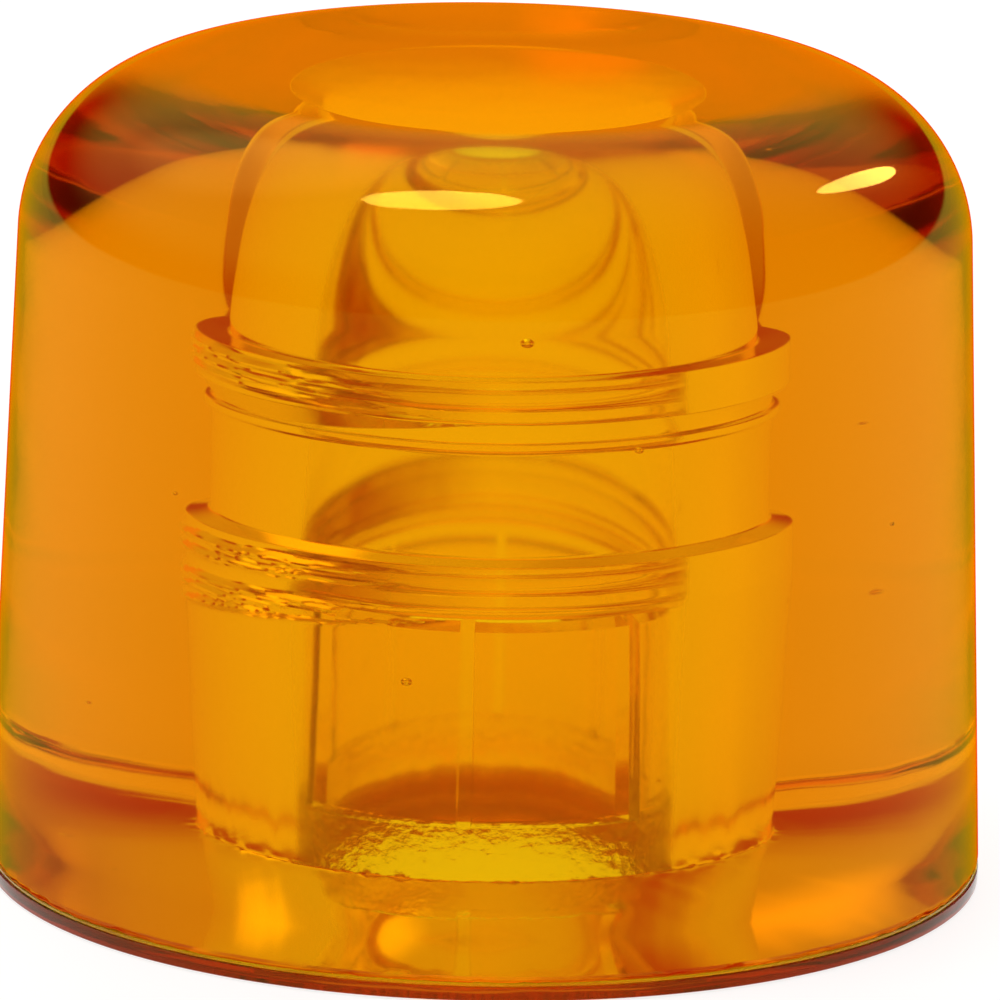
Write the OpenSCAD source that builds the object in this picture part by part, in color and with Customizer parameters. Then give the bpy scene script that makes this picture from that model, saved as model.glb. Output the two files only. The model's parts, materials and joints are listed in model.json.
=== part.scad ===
// Stud-type raised pavement marker: a thick clear amber lens that drops over a split
// socket sleeve on a thin base dish. Millimetres, +Z up, origin at the centre of the
// underside.

/* [Lens] */
// Diameter of the lens at its foot
lens_foot_d = 50; // [48:0.5:56]
// Diameter that the tapered side would reach at the crown
lens_crown_d = 47; // [45:0.5:48]
// Height of the crown above the ground
total_h = 41; // [40:0.5:44]
// Radius of the round shoulder
shoulder_r = 8.6; // [6:0.2:10]
// Width of the flat land that the lens stands on
foot_land_w = 1.7; // [1.2:0.1:3]

/* [Bore] */
// Diameter of the bore at its mouth
mouth_d = 19.2; // [19.2:0.1:19.6]
// Diameter of the bore below its step
lower_bore_d = 20.2; // [20:0.1:20.6]
// Diameter of the bore between the two seals
middle_bore_d = 18.6; // [18.4:0.1:18.8]
// Diameter of the bore above the upper seal
upper_bore_d = 17.5; // [17.4:0.1:17.8]
// Diameter that the bore flares to at its closed end
flare_d = 20.8; // [19:0.2:22]
// Height of the flare at the closed end
flare_h = 1.2; // [0.8:0.1:2]
// Thickness of the crown over the bore
crown_t = 5.7; // [5:0.1:6.5]
// Height of the bore's mouth above the ground
mouth_z = 2.9; // [2.8:0.1:3.2]

/* [Seal rings] */
// Height of the underside of the lower seal above the ground
lower_seal_z = 16.7; // [16.7:0.1:17.5]
// Height of the underside of the upper seal above the ground
upper_seal_z = 26; // [25.5:0.1:27]
// Height of each seal ring
seal_h = 2.2; // [1.8:0.1:2.4]
// Height of each backup ring
backup_h = 0.5; // [0.4:0.05:0.6]

/* [Socket sleeve] */
// Diameter of the anchor post that the sleeve takes
post_d = 17; // [16.6:0.1:17]
// Outside diameter of the sleeve's collar
sleeve_d = 19; // [18.8:0.1:19]
// Outside diameter of the fingers above the collar
finger_d = 18.6; // [18:0.1:18.7]
// Height of the collar's top above the ground
collar_z = 5.6; // [4:0.1:8]
// Height of the sleeve's top above the ground
sleeve_top_z = 15.8; // [14:0.1:15.8]
// Number of slits that part the sleeve into fingers
slit_count = 8; // [3:1:10]
// Width of each slit
slit_w = 0.6; // [0.4:0.1:1.2]

/* [Base] */
// Thickness of the base dish at its rim
base_rim_t = 0.7; // [0.6:0.1:0.8]
// Thickness of the foot gasket
gasket_t = 0.2; // [0.2:0.05:0.3]

/* [Hidden] */

$fn = 128;

// Lens outside
foot_r = lens_foot_d / 2;
foot_z = base_rim_t + gasket_t;
side_taper = atan((lens_foot_d - lens_crown_d) / 2 / (total_h - foot_z));
shoulder_z = total_h - shoulder_r;
shoulder_centre_r = foot_r - tan(side_taper) * (shoulder_z - foot_z)
    - shoulder_r / cos(side_taper);

// Underside of the lens: a flat land, then a hollow cone in two slopes
land_inner_r = foot_r - foot_land_w;
cut_below = 1;
knee_r = 19;
knee_rise = 0.9;

// Grooves in the bore
closed_end_z = total_h - crown_t;
flare_z = closed_end_z - flare_h;
groove_play = 0.05;
upper_groove_depth = 1.1;
upper_groove_r = upper_bore_d / 2 + upper_groove_depth;
backup_groove_depth = 0.25;
backup_groove_r = middle_bore_d / 2 + backup_groove_depth;
backup_drop = 1.5;
upper_backup_z = upper_seal_z - backup_drop;
step_rise = 0.3;

// The seal rings just clear the post, so that it can be pushed in and pulled out
seal_clearance = 0.15;
seal_inner_r = post_d / 2 + seal_clearance;
seal_nose_r = 0.55;
backup_setback = 0.3;
backup_inner_r = seal_inner_r + backup_setback;

// Base dish
air_gap = 0.35;
rim_margin = 0.6;
web_t = 0.8;
flange_t = 0.7;
flange_r = 11;
lock_ring_t = 0.8;
seat_margin = 0.3;
seat_r = flange_r + seat_margin;
hub_wall = 0.7;
hub_r = seat_r + hub_wall;
post_clearance = 0.2;
gasket_setback = 0.1;
sleeve_chamfer = 0.4;
slit_start = -5;

// Half section of the lens's outside, filled to the axis
module lens_outside() {
    tangent_r = shoulder_centre_r + shoulder_r * cos(side_taper);
    tangent_z = shoulder_z + shoulder_r * sin(side_taper);
    polygon([
        [0, foot_z], [foot_r, foot_z], [tangent_r, tangent_z],
        [shoulder_centre_r, shoulder_z], [shoulder_centre_r, total_h], [0, total_h]
    ]);
    intersection() {
        translate([shoulder_centre_r, shoulder_z]) circle(r = shoulder_r);
        translate([0, foot_z]) square([foot_r, total_h - foot_z]);
    }
}

// Half section of everything that is hollow in the lens, from the underside up
module lens_hollow() {
    lower_r = lower_bore_d / 2;
    middle_r = middle_bore_d / 2;
    upper_r = upper_bore_d / 2;
    polygon([
        [0, foot_z - cut_below], [land_inner_r, foot_z - cut_below], [land_inner_r, foot_z],
        [knee_r, foot_z + knee_rise], [mouth_d / 2, mouth_z],
        [lower_r, lower_seal_z], [lower_r, lower_seal_z + seal_h],
        [middle_r, lower_seal_z + seal_h + step_rise],
        [middle_r, upper_backup_z],
        [backup_groove_r, upper_backup_z],
        [backup_groove_r, upper_backup_z + backup_h],
        [middle_r, upper_backup_z + backup_h],
        [middle_r, upper_seal_z],
        [upper_groove_r, upper_seal_z], [upper_groove_r, upper_seal_z + seal_h],
        [upper_r, upper_seal_z + seal_h],
        [upper_r, flare_z], [flare_d / 2, closed_end_z], [0, closed_end_z]
    ]);
}

module lens_body() {
    color([0.93, 0.58, 0.05, 0.75])
        rotate_extrude()
            difference() {
                lens_outside();
                lens_hollow();
            }
}

// A ring of D section: flat outside, rounded nose towards the post
module seal_ring(outer_r, z) {
    play = groove_play;
    body_inner_r = seal_inner_r + seal_nose_r;
    color([0.62, 0.27, 0.10, 0.85])
        rotate_extrude()
            union() {
                translate([body_inner_r, z + play])
                    square([outer_r - play - body_inner_r, seal_h - 2 * play]);
                translate([body_inner_r, z + seal_h / 2])
                    circle(r = seal_nose_r);
            }
}

// A thin ring of square section
module backup_ring(outer_r, z) {
    play = groove_play;
    color([0.80, 0.45, 0.12, 0.85])
        rotate_extrude()
            translate([backup_inner_r, z + play])
                square([outer_r - play - backup_inner_r, backup_h - 2 * play]);
}

module upper_seal_ring() {
    seal_ring(upper_groove_r, upper_seal_z);
}

module upper_backup_ring() {
    backup_ring(backup_groove_r, upper_backup_z);
}

module lower_seal_ring() {
    seal_ring(lower_bore_d / 2, lower_seal_z);
}

module lower_backup_ring() {
    backup_ring(lower_bore_d / 2 - groove_play, lower_seal_z - backup_h);
}

// Thin sleeve on a flange, slit into fingers above its collar
module socket_sleeve() {
    color([0.90, 0.62, 0.15, 0.7])
        difference() {
            rotate_extrude()
                polygon([
                    [post_d / 2, web_t], [flange_r, web_t], [flange_r, web_t + flange_t],
                    [sleeve_d / 2, web_t + flange_t], [sleeve_d / 2, collar_z],
                    [finger_d / 2, collar_z],
                    [finger_d / 2, sleeve_top_z - sleeve_chamfer],
                    [finger_d / 2 - sleeve_chamfer, sleeve_top_z],
                    [post_d / 2, sleeve_top_z]
                ]);
            for (i = [0 : slit_count - 1])
                rotate([0, 0, 360 / slit_count * i + slit_start])
                    translate([0, -slit_w / 2, collar_z])
                        cube([sleeve_d, slit_w, sleeve_top_z]);
        }
}

module lock_ring() {
    inner_r = sleeve_d / 2 + groove_play;
    outer_r = seat_r - groove_play;
    color([0.80, 0.40, 0.08, 0.85])
        rotate_extrude()
            translate([inner_r, web_t + flange_t])
                square([outer_r - inner_r, lock_ring_t]);
}

module foot_gasket() {
    color([0.97, 0.85, 0.25, 0.6])
        rotate_extrude()
            translate([land_inner_r, base_rim_t])
                square([foot_land_w - gasket_setback, gasket_t]);
}

// Dish whose top follows the hollow under the lens, with a seat for the sleeve's flange
module base_plate() {
    color([0.86, 0.44, 0.06, 0.8])
        rotate_extrude()
            polygon([
                [post_d / 2 + post_clearance, 0], [foot_r, 0], [foot_r, base_rim_t],
                [land_inner_r - rim_margin, base_rim_t],
                [knee_r, foot_z + knee_rise - air_gap],
                [hub_r, web_t + flange_t + lock_ring_t],
                [seat_r, web_t + flange_t + lock_ring_t],
                [seat_r, web_t], [post_d / 2 + post_clearance, web_t]
            ]);
}

lens_body();
upper_seal_ring();
upper_backup_ring();
lower_seal_ring();
lower_backup_ring();
socket_sleeve();
lock_ring();
foot_gasket();
base_plate();
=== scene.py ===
"""Looks of the clear amber road marker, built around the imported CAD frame. Metres, +Z up."""

import json
import math
import random

import bmesh
import bpy
from mathutils import Matrix, Vector, noise


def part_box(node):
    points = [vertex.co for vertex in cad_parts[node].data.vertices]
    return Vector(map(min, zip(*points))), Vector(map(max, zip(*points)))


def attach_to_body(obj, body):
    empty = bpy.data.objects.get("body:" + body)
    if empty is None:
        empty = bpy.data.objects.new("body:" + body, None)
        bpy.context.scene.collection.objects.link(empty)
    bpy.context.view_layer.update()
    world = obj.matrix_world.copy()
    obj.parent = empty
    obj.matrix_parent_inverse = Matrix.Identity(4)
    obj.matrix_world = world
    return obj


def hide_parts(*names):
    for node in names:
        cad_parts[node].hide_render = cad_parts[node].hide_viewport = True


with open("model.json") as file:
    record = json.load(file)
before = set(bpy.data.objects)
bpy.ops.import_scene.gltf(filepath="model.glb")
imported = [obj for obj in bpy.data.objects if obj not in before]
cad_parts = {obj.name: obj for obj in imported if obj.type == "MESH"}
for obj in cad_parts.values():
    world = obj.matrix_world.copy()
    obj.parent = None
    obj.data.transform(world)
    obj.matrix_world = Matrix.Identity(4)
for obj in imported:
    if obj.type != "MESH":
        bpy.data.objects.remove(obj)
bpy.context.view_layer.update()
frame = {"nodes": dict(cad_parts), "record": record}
scene = bpy.context.scene

MM = 0.001
TAU = 2 * math.pi
SEED = 7
TURN = 288  # points round each turned piece
GAP = 0.02 * MM  # air left between pieces that touch, so that light crosses each surface once
PLAY = 0.05 * MM  # clearance between a ring and its groove
ON_AXIS = 1e-9  # a radius below this counts as zero


# Sizes read from the frame ------------------------------------------------------------------

def reach(node):
    """(outer radius, lowest z, highest z) of a round CAD node."""
    low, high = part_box(node)
    return high.x, low.z, high.z


def radii_at(node, z, tolerance=0.02 * MM):
    """The radii of a CAD node's own corners at height z, smallest first."""
    found = {
        round(math.hypot(v.co.x, v.co.y) / MM, 2)
        for v in frame["nodes"][node].data.vertices
        if abs(v.co.z - z) < tolerance
    }
    return [r * MM for r in sorted(found)]


def mount_radius(name):
    """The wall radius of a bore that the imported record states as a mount."""
    mount = next(m for m in frame["record"]["mounts"] if m["name"] == name)
    return mount["dims"]["r_mm"] * MM


lens_r, lens_foot_z, crown_z = reach("lens_body")
base_r, ground_z, hub_z = reach("base_plate")
upper_seal = reach("upper_seal_ring")
upper_backup = reach("upper_backup_ring")
lower_seal = reach("lower_seal_ring")
lower_backup = reach("lower_backup_ring")
gasket = reach("foot_gasket")
lock = reach("lock_ring")
sleeve_flange_r, sleeve_foot_z, sleeve_top_z = reach("socket_sleeve")


# Sizes inside those boxes, the same as in the CAD -------------------------------------------

SHOULDER_R = 8.6 * MM
CROWN_R = 23.5 * MM  # where the tapered side would reach the crown
LAND_W = 1.7 * MM
KNEE_R = 19 * MM
KNEE_RISE = 0.9 * MM  # above the land that the lens stands on
MOUTH_R = 9.6 * MM
MOUTH_Z = 2.9 * MM
MIDDLE_R = 9.3 * MM
UPPER_R = mount_radius("post_tip_guide")
FLARE_R = 10.4 * MM
FLARE_H = 1.2 * MM
CROWN_T = 5.7 * MM
STEP_RISE = 0.3 * MM

SEAL_INNER_R = 8.65 * MM
SEAL_NOSE_R = 0.55 * MM
BACKUP_INNER_R = 8.95 * MM

RIM_MARGIN = 0.6 * MM
AIR_GAP = 0.35 * MM
HUB_WALL = 0.7 * MM

SLIT_COUNT = 8
SLIT_W = 0.6 * MM
SLIT_START = math.radians(-5)
COLLAR_Z = 5.6 * MM
SLEEVE_R = 9.5 * MM
SLEEVE_CHAMFER = 0.4 * MM
FINGER_R = 9.3 * MM
POST_R = mount_radius("post_socket")


# Turned shapes ------------------------------------------------------------------------------

STRAIGHT = math.radians(165)  # a corner that is flatter than this isn't eased


def arc(centre, radius, start, end, steps):
    """Points on an arc of a half section, angles in degrees from +r towards +z."""
    points = []
    for i in range(steps + 1):
        a = math.radians(start + (end - start) * i / steps)
        points.append((centre[0] + radius * math.cos(a), centre[1] + radius * math.sin(a)))
    return points


def eased(corners, ease, steps=3):
    """A closed half section with every corner off the axis rounded a little."""
    out = []
    count = len(corners)
    for i, (r, z) in enumerate(corners):
        before, here, after = Vector(corners[i - 1]), Vector((r, z)), Vector(corners[(i + 1) % count])
        back, on = before - here, after - here
        turn = back.angle(on, math.pi) if back.length > 0 and on.length > 0 else math.pi
        if r < ON_AXIS or turn > STRAIGHT:
            out.append((r, z))
            continue
        reach_back = min(ease, 0.4 * back.length)
        reach_on = min(ease, 0.4 * on.length)
        start, end = here + back.normalized() * reach_back, here + on.normalized() * reach_on
        for k in range(steps + 1):
            t = k / steps
            point = start.lerp(here, t).lerp(here.lerp(end, t), t)
            out.append((point.x, point.y))
    return out


def spin(bm, section, closed=True):
    """Turns a half section (r, z) about the Z axis into bm. Points on the axis become one vertex."""
    rings = []
    for r, z in section:
        if r < ON_AXIS:
            rings.append([bm.verts.new((0, 0, z))])
        else:
            rings.append([
                bm.verts.new((r * math.cos(TAU * k / TURN), r * math.sin(TAU * k / TURN), z))
                for k in range(TURN)
            ])
    last = len(rings) if closed else len(rings) - 1
    for i in range(last):
        a, b = rings[i], rings[(i + 1) % len(rings)]
        for k in range(TURN):
            n = (k + 1) % TURN
            if len(a) == 1 and len(b) == 1:
                continue
            if len(a) == 1:
                bm.faces.new((a[0], b[k], b[n]))
            elif len(b) == 1:
                bm.faces.new((a[k], b[0], a[n]))
            else:
                bm.faces.new((a[k], b[k], b[n], a[n]))


def finish_mesh(bm, name, material, sharp_deg=15, cavities=()):
    """Makes the object from bm, smooth but for its sharp edges. A cavity is (centre, radius)."""
    bmesh.ops.recalc_face_normals(bm, faces=bm.faces)
    for centre, radius in cavities:
        placed = Matrix.Translation(centre) @ Matrix.Diagonal((1, 1, 0.8, 1))
        ball = bmesh.ops.create_icosphere(bm, subdivisions=3, radius=radius, matrix=placed)
        inside = {face for vert in ball["verts"] for face in vert.link_faces}
        bmesh.ops.reverse_faces(bm, faces=list(inside))
    mesh = bpy.data.meshes.new(name)
    bm.to_mesh(mesh)
    bm.free()
    mesh.polygons.foreach_set("use_smooth", [True] * len(mesh.polygons))
    mesh.set_sharp_from_angle(angle=math.radians(sharp_deg))
    piece = bpy.data.objects.new(name, mesh)
    scene.collection.objects.link(piece)
    mesh.materials.append(material)
    return piece


def attach(piece, body, slot, *nodes):
    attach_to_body(piece, body)
    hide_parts(*nodes)
    return piece


# Shader nodes -------------------------------------------------------------------------------

def remap(tree, value, start, end, low=0.0, high=1.0, smooth=False):
    """A value that goes from low to high as the given one goes from start to end."""
    span = tree.nodes.new("ShaderNodeMapRange")
    if smooth:
        span.interpolation_type = "SMOOTHSTEP"
    for socket, number in (("From Min", start), ("From Max", end), ("To Min", low), ("To Max", high)):
        span.inputs[socket].default_value = number
    tree.links.new(value, span.inputs["Value"])
    return span.outputs["Result"]


def combine(tree, operation, first, second):
    node = tree.nodes.new("ShaderNodeMath")
    node.operation = operation
    tree.links.new(first, node.inputs[0])
    tree.links.new(second, node.inputs[1])
    return node.outputs["Value"]


def mix_colours(tree, factor, first, second):
    """Goes from the first colour to the second. Each is a tuple or another node's output."""
    mix = tree.nodes.new("ShaderNodeMix")
    mix.data_type = "RGBA"
    tree.links.new(factor, mix.inputs["Factor"])
    for socket, colour in ((mix.inputs[6], first), (mix.inputs[7], second)):
        if isinstance(colour, tuple):
            socket.default_value = (*colour, 1)
        else:
            tree.links.new(colour, socket)
    return mix.outputs[2]


def scaled_length(tree, point, scale, shift=(0, 0, 0)):
    """The length of a point's vector, once it is scaled and then shifted."""
    moved = tree.nodes.new("ShaderNodeVectorMath")
    moved.operation = "MULTIPLY_ADD"
    moved.inputs[1].default_value = scale
    moved.inputs[2].default_value = shift
    tree.links.new(point, moved.inputs[0])
    length = tree.nodes.new("ShaderNodeVectorMath")
    length.operation = "LENGTH"
    tree.links.new(moved.outputs["Vector"], length.inputs[0])
    return length.outputs["Value"]


def axis_of(tree, point, axis):
    split = tree.nodes.new("ShaderNodeSeparateXYZ")
    tree.links.new(point, split.inputs["Vector"])
    return split.outputs[axis]


def noise_at(tree, point, scale, detail, low, high):
    """A noise texture whose middle values are stretched to low..high."""
    texture = tree.nodes.new("ShaderNodeTexNoise")
    texture.inputs["Scale"].default_value = scale
    texture.inputs["Detail"].default_value = detail
    tree.links.new(point, texture.inputs["Vector"])
    return remap(tree, texture.outputs["Fac"], 0.3, 0.7, low, high)


def bumped(tree, height, distance, normal=None):
    bump = tree.nodes.new("ShaderNodeBump")
    bump.inputs["Strength"].default_value = 1.0
    bump.inputs["Distance"].default_value = distance
    tree.links.new(height, bump.inputs["Height"])
    if normal:
        tree.links.new(normal, bump.inputs["Normal"])
    return bump.outputs["Normal"]


# Materials ----------------------------------------------------------------------------------

AMBER = (0.941, 0.772, 0.0)  # what a depth of clear amber lets through
GLINT = (1.0, 0.62, 0.08, 1)  # tint of the light that its surface throws back

# Depths of the bumps, and the scale and detail of each noise
WAVE_DEPTH = 0.02 * MM
DULL_SCALE, DULL_DETAIL = 160, 4.0
PIT_SCALE, PIT_DETAIL, PIT_DEPTH = 2200, 3.0, 0.1 * MM
SHADE_SCALE, SHADE_DETAIL = 420, 3.0
SHADE_FROM = -10 * MM  # x at which the painted shade is deepest

FILM_LOW = 8 * MM  # middle of the egg shape that tells the lens's outside from its inside
FILM_EDGE = (0.96, 0.985)  # share of the egg's size at which the film starts and is whole


def film_weight(tree, point):
    """One on the lens's outside and nothing inside it."""
    high = crown_z - FILM_LOW
    outward = scaled_length(
        tree, point, (1 / base_r, 1 / base_r, 1 / high), (0, 0, -FILM_LOW / high))
    return remap(tree, outward, *FILM_EDGE)


def painted_side_shade(tree, point, skin, side_shade):
    """The skin's colour, darkened by a patchy painted shade that is deepest at the -X side and fades along
    +X.
    """
    colour, extent = side_shade
    fade = remap(tree, axis_of(tree, point, "X"), SHADE_FROM, extent, 1.0, 0.0)
    patches = noise_at(tree, point, SHADE_SCALE, SHADE_DETAIL, 0.6, 1.4)
    return mix_colours(tree, combine(tree, "MULTIPLY", fade, patches), skin, colour)


def clear_plastic(name, tint, density, skin=(1.0, 0.92, 0.03), ior=1.49, rough=(0.0, 0.02),
                  wave_scale=90, side_shade=None, frost=None, bore=None, film=None):
    """
    Clear coloured plastic. Its colour is in its depth, with a little in each surface. A slow
    noise makes the surface faintly wavy, as moulded plastic is, and a finer one dulls it in
    patches. Side shade is (colour, how far it reaches in metres along +X): a painted shade
    that is deepest at the -X side and darkens the skin there in patches.
    Frost is (height, roughness): below that height the surface is matt and pitted. Bore is
    (radius, roughness): nearer to the axis than that the surface is less polished. Film is the
    tint of a thin layer on the lens's outside, which deepens where it is seen at a slant.
    """
    material = bpy.data.materials.new(name)
    material.use_nodes = True
    tree = material.node_tree
    tree.nodes.clear()
    out = tree.nodes.new("ShaderNodeOutputMaterial")
    shell = tree.nodes.new("ShaderNodeBsdfPrincipled")
    shell.inputs["Transmission Weight"].default_value = 1.0
    shell.inputs["IOR"].default_value = ior
    shell.inputs["Specular Tint"].default_value = GLINT
    shell.inputs["Base Color"].default_value = (*skin, 1)
    depth = tree.nodes.new("ShaderNodeVolumeAbsorption")
    depth.inputs["Color"].default_value = (*tint, 1)
    depth.inputs["Density"].default_value = density
    tree.links.new(shell.outputs["BSDF"], out.inputs["Surface"])
    tree.links.new(depth.outputs["Volume"], out.inputs["Volume"])

    point = tree.nodes.new("ShaderNodeTexCoord").outputs["Object"]
    dull = noise_at(tree, point, DULL_SCALE, DULL_DETAIL, *rough)
    normal = bumped(tree, noise_at(tree, point, wave_scale, 2.0, 0.0, 1.0), WAVE_DEPTH)
    if frost:
        height, roughness = frost
        matt = remap(tree, axis_of(tree, point, "Z"), height, height + 0.1 * MM, roughness, 0.0)
        dull = combine(tree, "MAXIMUM", dull, matt)
        pits = noise_at(tree, point, PIT_SCALE, PIT_DETAIL, 0.0, 2.0)
        normal = bumped(tree, combine(tree, "MULTIPLY", pits, matt), PIT_DEPTH, normal)
    if bore:
        radius, roughness = bore
        from_axis = scaled_length(tree, point, (1, 1, 0))
        drilled = remap(tree, from_axis, radius, radius + 1 * MM, roughness, 0.0)
        dull = combine(tree, "MAXIMUM", dull, drilled)
    if film:
        shell.inputs["Coat IOR"].default_value = 1.0
        shell.inputs["Coat Roughness"].default_value = 0.0
        shell.inputs["Coat Tint"].default_value = (*film, 1)
        tree.links.new(film_weight(tree, point), shell.inputs["Coat Weight"])
    # painted shade: the skin's -X side is darkened in patches
    if side_shade:
        tree.links.new(painted_side_shade(tree, point, skin, side_shade), shell.inputs["Base Color"])
    tree.links.new(dull, shell.inputs["Roughness"])
    tree.links.new(normal, shell.inputs["Normal"])
    return material


lens_amber = clear_plastic(
    "lens_amber", AMBER, 125, skin=(0.985, 0.967, 0.08), rough=(0.03, 0.06),
    bore=(10.6 * MM, 0.12), film=(1.0, 0.90, 0.42))
sleeve_amber = clear_plastic(
    "sleeve_amber", (0.985, 0.85, 0.02), 220, skin=(1.0, 0.93, 0.35), ior=1.22,
    wave_scale=200, frost=(COLLAR_Z, 0.25))
# the seals carry a painted shade: a dark red-brown tint in patches on their -X side
seal_brown = clear_plastic(
    "seal_brown", (0.96, 0.75, 0.05), 160, skin=(1.0, 0.96, 0.7), ior=1.33,
    rough=(0.0, 0.08), wave_scale=300, side_shade=((0.5, 0.11, 0.02), 0))
gasket_yellow = clear_plastic(
    "gasket_yellow", (0.99, 0.86, 0.05), 90, rough=(0.08, 0.2), wave_scale=300)
base_amber = clear_plastic(
    "base_amber", AMBER, 600, skin=(1.0, 0.8, 0.12), rough=(0.0, 0.06), wave_scale=150)


# Lens ---------------------------------------------------------------------------------------

SCORED_FROM = 14.2 * MM  # height from which the bore's wall is scored
SCORE_STEP = 0.1 * MM
LENS_EASE = 0.15 * MM
FOOT_EDGE = 0.25 * MM  # points this far in from the foot's rim, for its wear to move
GUARD_RISES = (0.3 * MM, 0.6 * MM, 0.9 * MM)  # rings that keep that wear low on the side


def along(start, end, spacing=0.2 * MM, count=3):
    """Points just before end on the line from start, for an edge that is worn."""
    line = Vector(start) - Vector(end)
    points = [Vector(end) + line.normalized() * spacing * i for i in range(count, 0, -1)]
    return [(p.x, p.y) for p in points]


def scored_wall(top_r, top_z, low_z, slope=0.0):
    """Close rings of points down a wall of the bore, for the scores to bend."""
    steps = round((top_z - low_z) / SCORE_STEP)
    return [(top_r - slope * i * SCORE_STEP, top_z - i * SCORE_STEP) for i in range(1, steps)]


def lens_section():
    """Half section of the lens, from the closed end's centre round the outside to the crown."""
    taper = math.atan((lens_r - CROWN_R) / (crown_z - lens_foot_z))
    shoulder_z = crown_z - SHOULDER_R
    shoulder_r = lens_r - math.tan(taper) * (shoulder_z - lens_foot_z) - SHOULDER_R / math.cos(taper)
    closed_z = crown_z - CROWN_T
    foot = lens_foot_z + GAP
    upper_r = upper_seal[0] + PLAY
    lower_r, lower_z = lower_seal[0] + PLAY, lower_seal[1] - PLAY
    bore_slope = (lower_r - MOUTH_R) / (lower_z - MOUTH_Z)
    inside = [
        (FLARE_R, closed_z), (UPPER_R, closed_z - FLARE_H),
        (UPPER_R, upper_seal[2] + PLAY), (upper_r, upper_seal[2] + PLAY),
        *scored_wall(upper_r, upper_seal[2] + PLAY, upper_seal[1] - PLAY),
        (upper_r, upper_seal[1] - PLAY), (MIDDLE_R, upper_seal[1] - PLAY),
        (MIDDLE_R, upper_backup[2] + PLAY), (upper_backup[0] + PLAY, upper_backup[2] + PLAY),
        (upper_backup[0] + PLAY, upper_backup[1] - PLAY), (MIDDLE_R, upper_backup[1] - PLAY),
        (MIDDLE_R, lower_seal[2] + PLAY + STEP_RISE), (lower_r, lower_seal[2] + PLAY),
        *scored_wall(lower_r, lower_seal[2] + PLAY, lower_z), (lower_r, lower_z),
        *scored_wall(lower_r, lower_z, SCORED_FROM, bore_slope),
        *along((lower_r, lower_z), (MOUTH_R, MOUTH_Z)),
        (MOUTH_R, MOUTH_Z),
        *reversed(along((KNEE_R, foot + KNEE_RISE), (MOUTH_R, MOUTH_Z))),
        (KNEE_R, foot + KNEE_RISE), (lens_r - LAND_W, foot), (lens_r - FOOT_EDGE, foot), (lens_r, foot),
    ]
    rounded = eased([(0, closed_z)] + inside + [(0, crown_z)], LENS_EASE, 4)[:-1]
    rounded += [(lens_r - math.tan(taper) * rise, foot + rise) for rise in GUARD_RISES]
    outside = arc((shoulder_r, shoulder_z), SHOULDER_R, math.degrees(taper), 90, 40)
    return rounded + outside + [(shoulder_r * 0.5, crown_z), (0, crown_z)]


WEAR_REACH = 0.5 * MM
WEAR_GRAIN = 0.35 * MM


def wear(bm, edge_r, edge_z, inwards, depth, patch):
    """Chips an edge: points near (edge_r, edge_z) move into the material by a patchy noise."""
    for vert in bm.verts:
        r = math.hypot(vert.co.x, vert.co.y)
        near = 1 - math.hypot(r - edge_r, vert.co.z - edge_z) / WEAR_REACH
        if near <= 0:
            continue
        grain = noise.noise(vert.co / WEAR_GRAIN) + 0.6 * noise.noise(vert.co / patch)
        push = depth * near * max(0.0, grain + 0.1)
        vert.co.x += inwards * push * vert.co.x / r
        vert.co.y += inwards * push * vert.co.y / r
        vert.co.z += push


# Scores in the bore: (height where one starts on the -X side, height it has at the front), in mm
SCORES = [
    (14.8, 16.5), (15.5, 16.5), (16.1, 16.6), (17.3, 18.2), (18.1, 18.5),
    (27.9, 27.2), (27.3, 26.6), (26.7, 26.4),
]
SCORE_W = 0.2 * MM
SCORE_DEPTH = 0.32 * MM
SCORE_WANDER = 0.15 * MM
LIP_DROP = 0.9 * MM
LIP_REACH = 0.12 * MM
LIP_LIMIT_R = 9.6 * MM
BORE_LIMIT_R = 10.5 * MM  # points farther out than this aren't on the bore's wall
WORN_MIDDLE = 0.3  # in quarter turns from the -X side towards the front
WORN_SPREAD = 0.5  # square of how many quarter turns it reaches to either side of that


def age_bore(bm):
    """Scores one side of the bore, and wears down the lip under the upper seal there."""
    lip_z = upper_seal[1] - PLAY
    for vert in bm.verts:
        r, z = math.hypot(vert.co.x, vert.co.y), vert.co.z
        # quarter turns from the -X side: 0 there, and 1 at the front
        turned = (math.atan2(vert.co.y, vert.co.x) % TAU - math.pi) / (math.pi / 2)
        # how worn that side is, from 0 to 1
        side = max(0.0, 1 - (turned - WORN_MIDDLE) ** 2 / WORN_SPREAD) ** 1.5
        if side == 0 or r > BORE_LIMIT_R:
            continue
        if SCORED_FROM < z < lower_seal[2] or upper_seal[1] < z < upper_seal[2]:
            cut = 0.0
            for start, end in SCORES:
                line = (start + (end - start) * min(1.0, max(0.0, turned))) * MM
                line += SCORE_WANDER * noise.noise(Vector((turned * 6, start, 0)))
                cut += math.exp(-((z - line) / SCORE_W) ** 2)
            push = SCORE_DEPTH * side * min(1.0, cut)
            vert.co.x += push * vert.co.x / r
            vert.co.y += push * vert.co.y / r
        elif abs(z - lip_z) < LIP_REACH and r < LIP_LIMIT_R:
            vert.co.z -= LIP_DROP * side


STRAY_BUBBLES = 9


def bubbles():
    """Small air bubbles in the thick wall: a few near the front, and some strewn by chance."""
    found = [
        (Vector((-3.4, -15.0, 14.0)) * MM, 0.26 * MM),
        (Vector((1.4, -12.5, 30.6)) * MM, 0.30 * MM),
        (Vector((6.2, -13.0, 25.4)) * MM, 0.22 * MM),
    ]
    chance = random.Random(SEED)
    for _ in range(STRAY_BUBBLES):
        r, a, z = chance.uniform(13, 20), chance.uniform(0, TAU), chance.uniform(6, 30)
        centre = Vector((r * math.cos(a), r * math.sin(a), z)) * MM
        found.append((centre, chance.uniform(0.08, 0.2) * MM))
    return found


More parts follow.
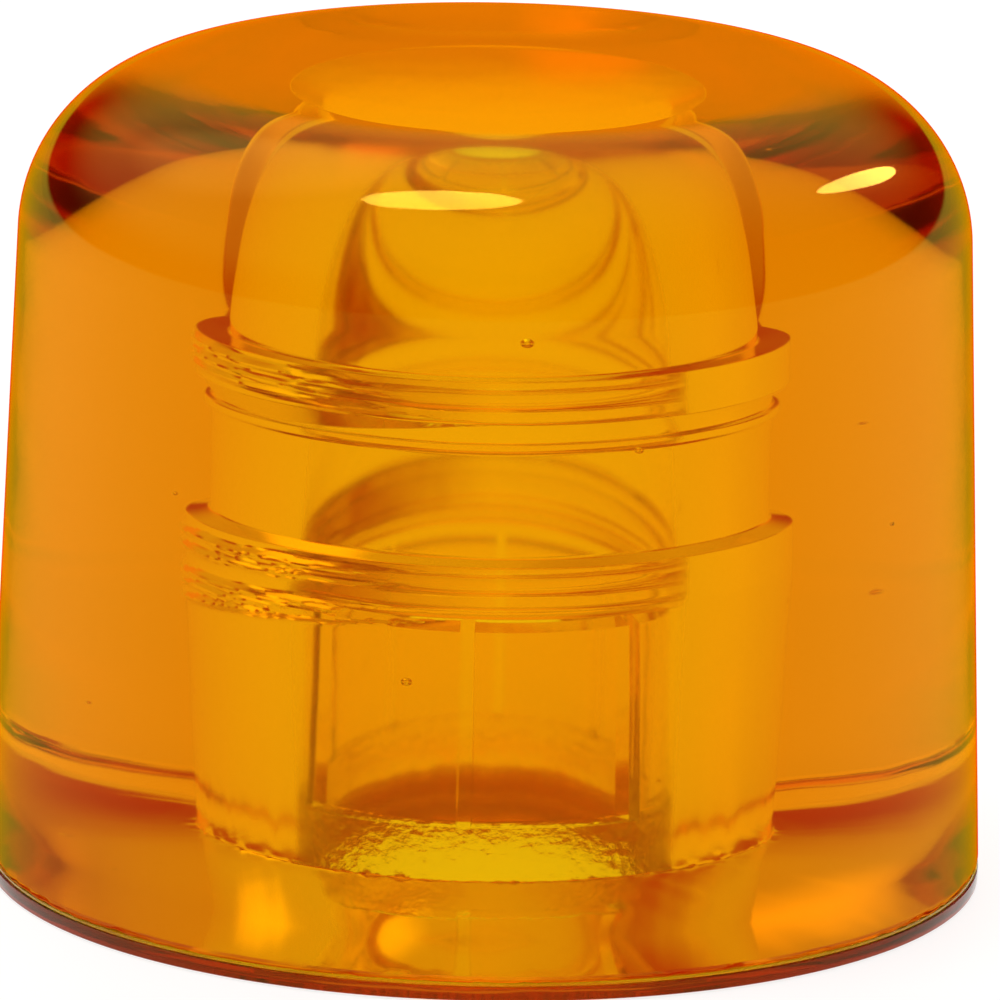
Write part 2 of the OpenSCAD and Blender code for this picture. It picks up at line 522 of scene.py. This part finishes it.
def make_lens():
    bm = bmesh.new()
    spin(bm, lens_section(), closed=False)
    age_bore(bm)
    wear(bm, MOUTH_R, MOUTH_Z, 1, 0.1 * MM, 2.5 * MM)
    wear(bm, lens_r, lens_foot_z, -1, 0.12 * MM, 4 * MM)
    piece = finish_mesh(bm, "lens_clear", lens_amber, cavities=bubbles())
    return attach(piece, "lens", "lens_amber", "lens_body")


# Rings and base -----------------------------------------------------------------------------

def make_seal(name, node, size):
    """A ring of D section: flat outside, with a round nose towards the post."""
    outer, low, high = size
    nose_r = SEAL_INNER_R + SEAL_NOSE_R
    section = [(outer, low), (outer, high), (nose_r, high)]
    section += arc((nose_r, (low + high) / 2), SEAL_NOSE_R, 90, 270, 16)
    section += [(nose_r, low)]
    bm = bmesh.new()
    spin(bm, eased(section, 0.1 * MM))
    return attach(finish_mesh(bm, name, seal_brown), "lens", "seal_brown", node)


def make_band(name, node, size, inner, material, body, slot, shrink=0.0):
    """A ring of square section. Shrink is taken off its top and its underside."""
    outer, low, high = size
    section = [(inner, low + shrink), (outer, low + shrink), (outer, high - shrink), (inner, high - shrink)]
    bm = bmesh.new()
    spin(bm, eased(section, 0.06 * MM))
    return attach(finish_mesh(bm, name, material), body, slot, node)


def make_base():
    """A dish whose top follows the lens's underside, with a seat for the sleeve's flange."""
    hole_r = radii_at("base_plate", ground_z)[0]
    rim_z = gasket[1]
    seat_r = lock[0] + PLAY
    web_z = sleeve_foot_z
    section = [
        (hole_r, ground_z), (base_r, ground_z), (base_r, rim_z), (lens_r - LAND_W - RIM_MARGIN, rim_z),
        (KNEE_R, lens_foot_z + KNEE_RISE - AIR_GAP), (seat_r + HUB_WALL, hub_z), (seat_r, hub_z),
        (seat_r, web_z - GAP), (hole_r, web_z - GAP),
    ]
    bm = bmesh.new()
    spin(bm, eased(section, 0.08 * MM))
    return attach(finish_mesh(bm, "base_dish", base_amber), "base", "base_amber", "base_plate")


# Sleeve -------------------------------------------------------------------------------------

def make_sleeve():
    """A flanged collar that carries fingers. Columns of points run up its wall at fixed angles."""
    flange_z = lock[1] - GAP
    outline = [
        (POST_R, sleeve_foot_z), (sleeve_flange_r, sleeve_foot_z), (sleeve_flange_r, flange_z),
        (SLEEVE_R, flange_z), (SLEEVE_R, COLLAR_Z), (FINGER_R, COLLAR_Z),
        (FINGER_R, sleeve_top_z - SLEEVE_CHAMFER), (FINGER_R - SLEEVE_CHAMFER, sleeve_top_z),
        (POST_R, sleeve_top_z), (POST_R, COLLAR_Z),
    ]
    outer = outline.index((FINGER_R, COLLAR_Z))  # the finger's root, on its outside
    inner = len(outline) - 1  # and on its inside
    per_finger = TURN // SLIT_COUNT

    def angle(finger, step, r):
        half_slit = math.asin(SLIT_W / 2 / r)
        start = SLIT_START + TAU * finger / SLIT_COUNT + half_slit
        return start + (TAU / SLIT_COUNT - 2 * half_slit) * step / per_finger

    bm = bmesh.new()
    columns = []
    for f in range(SLIT_COUNT):
        for s in range(per_finger + 1):
            columns.append([
                bm.verts.new((r * math.cos(angle(f, s, r)), r * math.sin(angle(f, s, r)), z))
                for r, z in outline
            ])
    collar_edges = [(inner, 0)] + [(i, i + 1) for i in range(outer)]
    finger_edges = [(i, i + 1) for i in range(outer, inner)]
    for c, a in enumerate(columns):
        b = columns[(c + 1) % len(columns)]
        at_slit = c % (per_finger + 1) == per_finger
        for i, j in collar_edges + ([] if at_slit else finger_edges):
            bm.faces.new((a[i], b[i], b[j], a[j]))
        if at_slit:
            bm.faces.new((a[outer], b[outer], b[inner], a[inner]))
            bm.faces.new(a[outer:])
            bm.faces.new(b[outer:])
    piece = finish_mesh(bm, "split_sleeve", sleeve_amber)
    return attach(piece, "base", "sleeve_amber", "socket_sleeve")


# Camera -------------------------------------------------------------------------------------

ELEVATION = math.radians(14.0)
ROLL = math.radians(1.14)
DISTANCE = 24 * base_r
FOCAL_LENGTH = 430.6  # mm, on a sensor 36 mm wide
AIM = Vector((0.02 * base_r, 0, 0.754 * base_r))


def make_camera():
    data = bpy.data.cameras.new("camera")
    data.lens = FOCAL_LENGTH
    data.sensor_width = 36
    data.clip_start, data.clip_end = 0.01, 50
    camera = bpy.data.objects.new("camera", data)
    scene.collection.objects.link(camera)
    back = Vector((0, -math.cos(ELEVATION), math.sin(ELEVATION)))
    camera.location = AIM + back * DISTANCE
    camera.rotation_mode = "QUATERNION"
    level = (-back).to_track_quat("-Z", "Y")
    camera.rotation_quaternion = level @ Matrix.Rotation(ROLL, 3, "Z").to_quaternion()
    scene.camera = camera


# Stage --------------------------------------------------------------------------------------

LIT_POINT = Vector((0, 0, 0.02))


def make_light(name, place, along_axis, power, size, size_y):
    """A soft oval lamp that faces the lens, its long side along the given direction."""
    data = bpy.data.lights.new(name, "AREA")
    data.shape = "ELLIPSE"
    data.energy, data.size, data.size_y = power, size, size_y
    light = bpy.data.objects.new(name, data)
    scene.collection.objects.link(light)
    light.location = place
    away = (Vector(place) - LIT_POINT).normalized()
    across = Vector(along_axis)
    across = (across - away * away.dot(across)).normalized()
    light.visible_transmission = False  # it shines on the lens, and isn't seen through it
    light.rotation_mode = "QUATERNION"
    light.rotation_quaternion = Matrix((across, away.cross(across), away)).transposed().to_quaternion()


FLOOR_HALF = 8.0
FLOOR_DROP = 0.1 * MM  # so that the floor and the base's underside don't share a plane


def make_floor():
    """A pale table, lit through as a light table is."""
    corners = [(x * FLOOR_HALF, y * FLOOR_HALF, 0) for x, y in ((-1, -1), (1, -1), (1, 1), (-1, 1))]
    mesh = bpy.data.meshes.new("floor")
    mesh.from_pydata(corners, [], [(0, 1, 2, 3)])
    floor = bpy.data.objects.new("floor", mesh)
    floor.location.z = -FLOOR_DROP
    scene.collection.objects.link(floor)
    paper = bpy.data.materials.new("paper")
    paper.use_nodes = True
    skin = paper.node_tree.nodes["Principled BSDF"]
    skin.inputs["Base Color"].default_value = (0.15, 0.15, 0.15, 1)
    skin.inputs["Roughness"].default_value = 0.6
    skin.inputs["Emission Color"].default_value = (1, 1, 1, 1)
    skin.inputs["Emission Strength"].default_value = 0.82
    mesh.materials.append(paper)


WINDOW = (-0.44, 0.39, 0.79)  # direction of the brightest part of the studio's ceiling
WINDOW_LIGHT = (1.9, 1.9, 1.9)
CEILING = (0.95, 0.95, 0.95)
BACKDROP = (1.0, 1.0, 1.0)
HORIZON = (1.2, 0.72, 0.14)
FLAG = (0.55, 0.03, 0.012)

# Where one part of the sky gives way to the next. The first two are cosines from the window's
# direction, the next two are heights from 0 at the horizon to 1 overhead, and the last is how
# far to either side.
WINDOW_EDGE = (0.9, 0.98)
CEILING_SPREAD = (-0.1, 0.65)
CEILING_RISE = (0.15, 0.5)
BACKDROP_TOP = (0.03, 0.06)
FLAG_EDGE = (0.12, 0.32)


def make_sky():
    """
    Soft light from above and behind, over a dim warm band between two dark flags. Below that
    band the pale backdrop meets the table.
    """
    world = bpy.data.worlds.new("studio")
    scene.world = world
    world.use_nodes = True
    tree = world.node_tree
    direction = tree.nodes.new("ShaderNodeTexCoord").outputs["Generated"]
    split = tree.nodes.new("ShaderNodeSeparateXYZ")
    tree.links.new(direction, split.inputs["Vector"])
    height = split.outputs["Z"]
    sideways = tree.nodes.new("ShaderNodeMath")
    sideways.operation = "ABSOLUTE"
    tree.links.new(split.outputs["X"], sideways.inputs[0])
    facing = tree.nodes.new("ShaderNodeVectorMath")
    facing.operation = "DOT_PRODUCT"
    facing.inputs[1].default_value = Vector(WINDOW).normalized()
    tree.links.new(direction, facing.inputs[0])

    def ramp(value, edges):
        return remap(tree, value, *edges, smooth=True)

    spread = ramp(facing.outputs["Value"], CEILING_SPREAD)
    ceiling = combine(tree, "MULTIPLY", spread, ramp(height, CEILING_RISE))
    sky = mix_colours(tree, ramp(sideways.outputs["Value"], FLAG_EDGE), HORIZON, FLAG)
    sky = mix_colours(tree, ramp(height, BACKDROP_TOP), BACKDROP, sky)
    sky = mix_colours(tree, ceiling, sky, CEILING)
    sky = mix_colours(tree, ramp(facing.outputs["Value"], WINDOW_EDGE), sky, WINDOW_LIGHT)
    tree.links.new(sky, tree.nodes["Background"].inputs["Color"])


make_camera()
make_lens()
make_seal("upper_seal", "upper_seal_ring", upper_seal)
make_seal("lower_seal", "lower_seal_ring", lower_seal)
make_band(
    "upper_backup", "upper_backup_ring", upper_backup, BACKUP_INNER_R, sleeve_amber,
    "lens", "sleeve_amber")
make_band(
    "lower_backup", "lower_backup_ring", lower_backup, BACKUP_INNER_R, sleeve_amber,
    "lens", "sleeve_amber")
make_band("clamp_ring", "lock_ring", lock, SLEEVE_R + PLAY, base_amber, "base", "base_amber", GAP)
make_band("foot_seal", "foot_gasket", gasket, lens_r - LAND_W, gasket_yellow, "base", "gasket_yellow", GAP)
make_base()
make_sleeve()
make_floor()
make_sky()
make_light("key", (-0.074, -0.063, 0.532), (0.99, 0, 0.14), power=1.3, size=0.22, size_y=0.13)
make_light("side", (0.317, 0.233, 0.268), (-0.2, 0.79, -0.58), power=0.4, size=0.22, size_y=0.05)
scene.view_settings.view_transform = "Standard"
scene.cycles.max_bounces = 24  # light crosses many clear walls before it leaves
scene.cycles.transmission_bounces = 24
scene.cycles.glossy_bounces = 16
